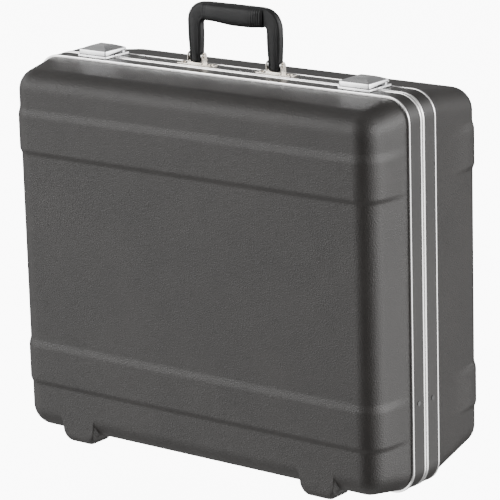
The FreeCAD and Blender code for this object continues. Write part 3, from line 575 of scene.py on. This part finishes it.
for half in ("lid", "base"):
    shell(half)


# ---------------------------------------------------------------- handle

def bow_points():
    """Pairs of points on the outer and inner edge of the handle, from the left leg's end to the right one's."""
    left = []
    for z in spaced([(LEG_END, LEG_END + 4.0, 4), (LEG_END + 4.0, INNER_Z, 9)]):
        outer_z = z + (BOW_Z - INNER_Z) * (z - LEG_END) / (INNER_Z - LEG_END)
        left.append(((-LEG_X - LEG_HALF, outer_z), (-LEG_X + LEG_HALF, z)))
    for step in range(1, 11):
        angle = math.pi - math.pi / 2 * step / 10
        out = (math.cos(angle), math.sin(angle))
        left.append(((-BOW_X + BOW * out[0], BOW_Z + BOW * out[1]),
                     (-INNER_X + INNER_BOW * out[0], INNER_Z + INNER_BOW * out[1])))
    across = [((-BOW_X + 2.0 * BOW_X * k / 12, CREST), (-INNER_X + 2.0 * INNER_X * k / 12, CREST - 2.0 * LEG_HALF))
              for k in range(1, 12)]
    right = [((-a[0], a[1]), (-b[0], b[1])) for a, b in reversed(left)]
    return left + across + right


def leg_section(half_n, half_y, points=56):
    """(n, y) of the leather's section: a soft rectangle with a sewn groove pair along each edge."""
    section = []
    for index in range(points):
        angle = 2.0 * math.pi * index / points
        c, s = math.cos(angle), math.sin(angle)
        n = math.copysign(abs(c) ** 0.42, c) * half_n
        y = math.copysign(abs(s) ** 0.5, s) * half_y
        for place, depth, width in ((5.0, 0.9, 0.6), (7.2, 0.7, 0.6)):
            y *= 1.0 - depth / LEG_THICK * math.exp(-((abs(n) - place) / width) ** 2)
        section.append((n, y))
    return section


def handle_leather():
    """The sewn cover of the handle's bow, drawn in at the legs' ends and creased in the bends."""
    made = bmesh.new()
    rings = []
    pairs = bow_points()
    last = len(pairs) - 1
    for index, (outer, inner) in enumerate(pairs):
        o, i = Vector(outer), Vector(inner)
        middle, across = (o + i) / 2, (o - i)
        half_n = across.length / 2
        across.normalize()
        end = min(index, last - index)
        ease = (0.80, 0.93, 0.98, 1.0)[min(end, 3)]
        narrow = 1.0 - 0.17 * smoothstep(512.0, 478.0, middle.y) if end < 14 else 1.0
        ring = []
        for n, y in leg_section(half_n, LEG_THICK):
            crease = 0.25 * math.sin(index * 2.4 + n * 0.5) if 13 < end < 22 else 0.0
            spot = middle + across * (n * ease * narrow)
            ring.append((spot.x, HANDLE_Y + (y - math.copysign(abs(crease), y)) * ease, spot.y))
        rings.append(ring)
    stack(made, rings, cap_start=True, cap_end=True)
    return finish_object("handle_cover", made, ["handle_leather"], "handle", replaces=("handle_leather",), sharp=60.0)


def drawn_in(ring, x, shrink):
    """A copy of a sleeve's ring at another place along it, drawn in about the sleeve's middle."""
    return [(x, HANDLE_Y + (y - HANDLE_Y) * shrink, SLEEVE_MIDDLE + (z - SLEEVE_MIDDLE) * shrink)
            for old_x, y, z in ring]


def grip():
    """The padded sleeve: a belly below, drawn in and wrinkled at its ends."""
    made = bmesh.new()
    rings = []
    places = spaced([(-SLEEVE_END, -36.0, 22), (-36.0, 24.0, 30), (24.0, SLEEVE_END, 46)])
    for x in places:
        low = 526.4 - 2.8 * smoothstep(-34.0, 2.0, x) + 1.2 * smoothstep(24.0, 42.0, x)
        end = smoothstep(45.6, 42.4, abs(x)) if abs(x) > 42.4 else 1.0
        half_z, mid_z = (SLEEVE_TOP - low) / 2, (SLEEVE_TOP + low) / 2
        half_y = 8.4 + 1.55 * smoothstep(46.0, 22.0, abs(x))
        fold = 0.0
        for spot, depth, width in ((-42.6, 0.8, 0.5), (-40.6, 0.4, 0.7), (-37.4, 0.25, 0.8), (28.0, 0.22, 0.9),
                                   (31.4, 0.4, 0.8), (34.6, 0.55, 0.7), (37.6, 0.6, 0.6), (40.4, 0.8, 0.5)):
            fold += depth * math.exp(-((x - spot) / width) ** 2)
        ring = []
        for index in range(48):
            angle = 2.0 * math.pi * index / 48
            c, s = math.cos(angle), math.sin(angle)
            pull = fold * (0.75 + 0.25 * math.sin(3.0 * angle + x * 0.3))
            pull += 0.7 * math.exp(-((s - 0.80) / 0.07) ** 2)
            y = math.copysign(abs(c) ** 0.72, c) * (half_y * (0.86 + 0.14 * end) - pull)
            z = math.copysign(abs(s) ** 0.72, s) * (half_z * (0.90 + 0.10 * end) - pull)
            ring.append((x + 0.5 * s * smoothstep(20.0, 36.0, abs(x)), HANDLE_Y + y, mid_z + z))
        rings.append(ring)
    for inward, shrink in ((0.6, 0.84), (1.4, 0.80)):
        rings.insert(0, drawn_in(rings[0], inward - SLEEVE_END, shrink))
        rings.append(drawn_in(rings[-1], SLEEVE_END - inward, shrink))
    stack(made, rings, cap_start=True, cap_end=True)
    piece = finish_object("handle_sleeve", made, ["handle_leather"], "handle", replaces=("handle_grip",), sharp=70.0)
    return piece


def stitches():
    """Thread that sews the edges of the handle's legs, a short stitch every 3 mm."""
    made = bmesh.new()
    for side in (-1.0, 1.0):
        for row in (-6.4, 6.4):
            for face in (-1.0, 1.0):
                z = LEG_END + 4.0
                while z < 519.0:
                    spot = Vector((side * LEG_X + row, HANDLE_Y + face * 5.12, z)) * MM
                    turn = Matrix.Translation(spot) @ Matrix.Diagonal((0.00035, 0.00028, 0.00105, 1.0))
                    bmesh.ops.create_icosphere(made, subdivisions=1, radius=1.0, matrix=turn)
                    z += 3.0
    return finish_object("handle_stitches", made, ["thread"], "handle", sharp=80.0)


# ---------------------------------------------------------------- plates, brackets, latches

def rounded_outline(half_x, half_y, radius, steps=5):
    """Points of a rectangle with round corners, about the origin."""
    points = []
    for sx, sy, start in ((1, 1, 0.0), (-1, 1, 90.0), (-1, -1, 180.0), (1, -1, 270.0)):
        for step in range(steps + 1):
            angle = math.radians(start + 90.0 * step / steps)
            points.append((sx * (half_x - radius) + radius * math.cos(angle),
                           sy * (half_y - radius) + radius * math.sin(angle)))
    return points


def plate(made, center, half_x, half_y, low, high, radius, bevel):
    """A flat plate with round corners and softened edges."""
    layers = [(low, bevel * 0.6), (low + bevel * 0.5, 0.0), (high - bevel, 0.0), (high - bevel * 0.3, bevel * 0.3),
              (high, bevel)]
    rings = []
    for z, inset in layers:
        outline = rounded_outline(half_x - inset, half_y - inset, max(0.15, radius - inset))
        rings.append([(center[0] + x, center[1] + y, z) for x, y in outline])
    stack(made, rings, cap_start=True, cap_end=True)


def ear(made, x, thickness, half_width, low, pivot, radius):
    """An upright ear with a round top, its faces across X."""
    outline = [(-half_width, low), (-half_width, pivot)]
    outline += [(-radius * math.cos(math.pi * k / 12), pivot + radius * math.sin(math.pi * k / 12))
                for k in range(1, 12)]
    outline += [(half_width, pivot), (half_width, low)]
    center = Vector((0.0, (low + pivot) / 2))
    rings = []
    for offset, shrink in ((0.0, 0.25), (0.25, 0.0), (thickness - 0.25, 0.0), (thickness, 0.25)):
        ring = []
        for y, z in outline:
            away = Vector((y, z)) - center
            away -= away.normalized() * shrink
            ring.append((x + offset, away.x, center.y + away.y))
        rings.append(ring)
    stack(made, rings, cap_start=True, cap_end=True)


def moved(made, start, y):
    """Moves the vertices added since start by y, in millimetres."""
    for vert in list(made.verts)[start:]:
        vert.co.y += y * MM


def bracket(name, side):
    """The handle's bracket: a riveted plate, two ears and a low lip in front of the leg."""
    made = bmesh.new()
    middle = side * LEG_X
    plate(made, (middle, HANDLE_Y), 27.95, 6.45, TOP - 0.45, TOP + 0.7, 3.0, 0.3)
    start = len(made.verts)
    for low_x in (-10.0 - 0.4 - 1.15, 10.0 + 0.4):
        ear(made, middle + low_x, 1.15, 4.5, TOP + 0.3, PIVOT_Z, 4.45)
    moved(made, start, HANDLE_Y)
    plate(made, (middle, HANDLE_Y - 5.6), 10.6, 0.6, TOP + 0.3, TOP + 2.9, 0.5, 0.2)
    return finish_object(f"bracket_{name}", made, ["nickel_bracket"], "base", replaces=(f"handle_bracket_{name}",),
                         sharp=45.0)


def dome(made, center, axis, radius, height, steps=5):
    """A rivet's round head on a face."""
    rings = []
    for step in range(steps + 1):
        angle = math.pi / 2 * step / steps
        r, h = radius * math.cos(angle) if step < steps else radius * 0.05, height * math.sin(angle)
        ring = []
        for index in range(20):
            turn = 2.0 * math.pi * index / 20
            flat = (r * math.cos(turn), r * math.sin(turn))
            if axis == "z":
                ring.append((center[0] + flat[0], center[1] + flat[1], center[2] + h))
            else:
                way = 1.0 if axis == "x" else -1.0
                ring.append((center[0] + way * h, center[1] + flat[0], center[2] + flat[1]))
        rings.append(ring)
    stack(made, rings, cap_start=True, cap_end=True)


def bracket_rivets():
    """The round heads of the four rivets that hold the brackets."""
    made = bmesh.new()
    for side in (-1.0, 1.0):
        for end in (-21.0, 21.0):
            dome(made, (side * LEG_X + end, HANDLE_Y, TOP + 0.7), "z", 3.0, 1.15)
    return finish_object("bracket_rivet_heads", made, ["nickel_bracket"], "base", sharp=60.0)


def latch_cover(name, side):
    """The lever: a bright skirt, a bevelled rim and a low four-sided pillow, open below at the back."""
    made = bmesh.new()
    x0, y0 = side * LATCH_X, PARTING + 0.3
    half_x, half_y = 21.45, 20.05
    heel = PARTING + 14.5
    rings = []

    def ring(inset, z, radius, lift=0.0):
        outline = rounded_outline(half_x - inset, half_y - inset, max(0.12, radius))
        made_ring = []
        for x, y in outline:
            up = lift * smoothstep(heel - 1.2, heel + 0.4, y0 + y)
            made_ring.append((x0 + x, y0 + y, z + up))
        return made_ring

    rings.append(ring(1.3, 479.6, 1.2))
    rings.append(ring(1.3, 475.7, 1.2, 3.3))
    rings.append(ring(0.3, 475.5, 2.0, 3.3))
    rings.append(ring(0.0, 475.9, 2.2, 3.1))
    rings.append(ring(0.0, 480.1, 2.2))
    rings.append(ring(0.25, 480.8, 2.0))
    rings.append(ring(0.9, 481.15, 1.4))
    rings.append(ring(1.3, 481.2, 1.0))
    for step in range(1, 9):
        t = step / 8
        rings.append(ring(1.3 + 14.2 * t, 481.2 + 4.9 * (1.0 - (1.0 - t) ** 1.35), 0.6 - 0.4 * t))
    stack(made, rings, cap_start=True, cap_end=True)
    return finish_object(f"latch_{name}_lever", made, ["plated_latch"], f"latch_{name}",
                         replaces=(f"latch_{name}_cover",), sharp=30.0)


def latch_plates(name, side):
    """The plate on the base with the pin's two ears, and the keeper's plate on the lid."""
    x0 = side * LATCH_X
    made = bmesh.new()
    plate(made, (x0, PARTING + 12.95), LATCH_HALF, 10.5, TOP + 0.05, TOP + 2.95, 1.2, 0.45)
    plate(made, (x0, PARTING + 1.0), LATCH_HALF, 3.45, TOP + 0.45, TOP + 2.95, 0.8, 0.45)
    start = len(made.verts)
    for end in (-1.0, 1.0):
        ear(made, x0 + end * 17.5 - 0.75, 1.5, 1.98, TOP + 2.0, TOP + 6.4, 1.96)
    moved(made, start, PARTING + LATCH_PIVOT)
    finish_object(f"latch_{name}_bed", made, ["plated_latch"], "base", replaces=(f"latch_{name}_plate",), sharp=45.0)
    made = bmesh.new()
    plate(made, (x0, PARTING - 11.9), LATCH_HALF, 8.55, TOP + 0.05, TOP + 2.95, 1.2, 0.45)
    finish_object(f"latch_{name}_striker", made, ["plated_latch"], "lid", replaces=(f"latch_{name}_keeper",),
                  sharp=45.0)


handle_leather()
grip()
stitches()
bracket_rivets()
for name, side in (("left", -1.0), ("right", 1.0)):
    bracket(name, side)
    latch_cover(name, side)
    latch_plates(name, side)


# ---------------------------------------------------------------- materials of the carried nodes

CARRIED = (
    ("*_splice_plate", "frame_aluminium"), ("*_valance", "frame_aluminium"), ("*_inlay", "inlay_strip"),
    ("handle_bracket*", "nickel_bracket"), ("handle_pin*", "nickel_bracket"), ("stay_*_rivet", "blackened_steel"),
    ("*_rivets", "rivet_aluminium"), ("*_elbow", "rivet_aluminium"), ("hinge_*", "hinge_steel"),
    ("stay_*_arm", "stay_steel"), ("latch_*_spring", "stay_steel"), ("latch_*_pin", "stay_steel"),
    ("handle_strap", "stay_steel"), ("latch_*", "plated_latch"), ("handle_*", "handle_leather"),
    ("*_shell", "moulded_shell"),
)

for node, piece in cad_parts.items():
    finish = next(look for pattern, look in CARRIED if fnmatch.fnmatch(node, pattern))
    piece.data.materials.clear()
    piece.data.materials.append(MATERIALS[finish])


# ---------------------------------------------------------------- floor, light, camera

FLOOR_HEIGHT = -0.1            # metres: the lid, opened square, reaches 88 mm below the feet
FLOOR_SEEN, FLOOR_GLOW = 9.0, 0.5
MATT_LIGHT = 0.5
PANEL_LIGHT = 2.5
PANELS_AROUND = ((-1.0, 0.06), (-0.9, 0.08), (-0.7, 0.3), (-0.28, 1.7), (0.38, 1.8), (0.5, 1.32), (0.72, 0.4),
                 (0.9, 0.12))
PANELS_OVER = ((-1.0, 0.15), (-0.62, 0.2), (-0.36, 0.9), (-0.05, 0.9), (0.1, 1.8), (0.4, 2.0), (0.6, 0.2),
               (1.0, 0.2))
PANELS_ACROSS = ((-1.0, 0.25), (-0.82, 0.35), (-0.64, 1.0), (1.0, 1.0))
LAMPS = (("overhead", (-0.3, 0.5, 2.4), (0.0, 0.0, 0.2), 18.0, 1.8),
         ("key", (2.4, 0.9, 1.6), (0.0, 0.0, 0.25), 8.0, 1.2),
         ("left_fill", (-1.6, -3.0, 0.9), (0.0, 0.0, 0.25), 24.0, 1.8))


def ramp(tree, value, stops):
    """A grey level that follows stops of (place, level) from -1 to 1."""
    node = tree.nodes.new("ShaderNodeValToRGB")
    tree.links.new(mapped(tree, value, -1.0, 1.0, 0.0, 1.0), node.inputs["Fac"])
    marks = node.color_ramp.elements
    while len(marks) < len(stops):
        marks.new(0.5)
    for mark, (place, level) in zip(marks, stops):
        mark.position = (place + 1.0) / 2.0
        mark.color = (level, level, level, 1.0)
    return node.outputs["Color"]


def studio():
    """Pale floor, soft lamps for the matt light, and soft panels and dark gaps all round for the gloss."""
    floor_mesh = bpy.data.meshes.new("floor")
    made = bmesh.new()
    bmesh.ops.create_grid(made, x_segments=1, y_segments=1, size=12.0)
    made.to_mesh(floor_mesh)
    made.free()
    floor = bpy.data.objects.new("floor", floor_mesh)
    floor.visible_glossy = False
    floor_mesh.transform(Matrix.Translation((0.0, 0.0, FLOOR_HEIGHT)))
    bpy.context.scene.collection.objects.link(floor)
    pale = bpy.data.materials.new("pale_floor")
    pale.use_nodes = True
    shader = pale.node_tree.nodes["Principled BSDF"]
    shader.inputs["Base Color"].default_value = (0.9, 0.9, 0.9, 1.0)
    shader.inputs["Roughness"].default_value = 0.8
    shader.inputs["Specular IOR Level"].default_value = 0.1
    shader.inputs["Emission Color"].default_value = (1.0, 1.0, 1.0, 1.0)
    rays = pale.node_tree.nodes.new("ShaderNodeLightPath")
    seen = math_node(pale.node_tree, "MULTIPLY", rays.outputs["Is Camera Ray"], FLOOR_SEEN)
    pale.node_tree.links.new(math_node(pale.node_tree, "ADD", FLOOR_GLOW, seen), shader.inputs["Emission Strength"])
    floor_mesh.materials.append(pale)
    world = bpy.data.worlds.new("studio")
    world.use_nodes = True
    tree = world.node_tree
    direction = tree.nodes.new("ShaderNodeTexCoord").outputs["Generated"]
    facing = tree.nodes.new("ShaderNodeVectorMath")
    facing.operation = "DOT_PRODUCT"
    facing.inputs[1].default_value = (0.35, -0.93, 0.0)
    tree.links.new(direction, facing.inputs[0])
    split = tree.nodes.new("ShaderNodeSeparateXYZ")
    tree.links.new(direction, split.inputs[0])
    around = ramp(tree, facing.outputs["Value"], PANELS_AROUND)
    over = math_node(tree, "MULTIPLY", ramp(tree, split.outputs["Z"], PANELS_OVER),
                     ramp(tree, split.outputs["X"], PANELS_ACROSS))
    rays = tree.nodes.new("ShaderNodeLightPath")
    panels = math_node(tree, "MULTIPLY", math_node(tree, "MULTIPLY", around, over), PANEL_LIGHT)
    glossy = math_node(tree, "MULTIPLY", panels, rays.outputs["Is Glossy Ray"])
    rest = math_node(tree, "SUBTRACT", 1.0, rays.outputs["Is Glossy Ray"])
    seen = math_node(tree, "ADD", MATT_LIGHT, math_node(tree, "MULTIPLY", rays.outputs["Is Camera Ray"], FLOOR_SEEN))
    other = math_node(tree, "MULTIPLY", rest, seen)
    tree.nodes["Background"].inputs["Color"].default_value = (1.0, 1.0, 1.0, 1.0)
    tree.links.new(math_node(tree, "ADD", glossy, other), tree.nodes["Background"].inputs["Strength"])
    bpy.context.scene.world = world
    for name, spot, aim, power, size in LAMPS:
        lamp = bpy.data.lights.new(name, "AREA")
        lamp.energy = power
        lamp.size = size
        lamp_object = bpy.data.objects.new(name, lamp)
        lamp_object.location = spot
        lamp_object.rotation_euler = (Vector(aim) - Vector(spot)).to_track_quat("-Z", "Y").to_euler()
        lamp_object.visible_glossy = False
        bpy.context.scene.collection.objects.link(lamp_object)


def camera():
    azimuth, elevation, roll = (math.radians(a) for a in (38.1206, 14.7093, -1.5984))
    back = Vector((math.sin(azimuth) * math.cos(elevation), -math.cos(azimuth) * math.cos(elevation),
                   math.sin(elevation)))
    right = Vector((math.cos(azimuth), math.sin(azimuth), 0.0))
    up = back.cross(right)
    turned_right = right * math.cos(roll) + up * math.sin(roll)
    turned_up = up * math.cos(roll) - right * math.sin(roll)
    lens = bpy.data.cameras.new("camera")
    lens.sensor_width = 36.0
    lens.lens = 208.72
    view = bpy.data.objects.new("camera", lens)
    axes = Matrix((turned_right, turned_up, back)).transposed()
    view.matrix_world = Matrix.Translation(Vector((0.0241, -0.026, 0.2566)) + back * 3.46) @ axes.to_4x4()
    bpy.context.scene.collection.objects.link(view)
    bpy.context.scene.camera = view


studio()
camera()
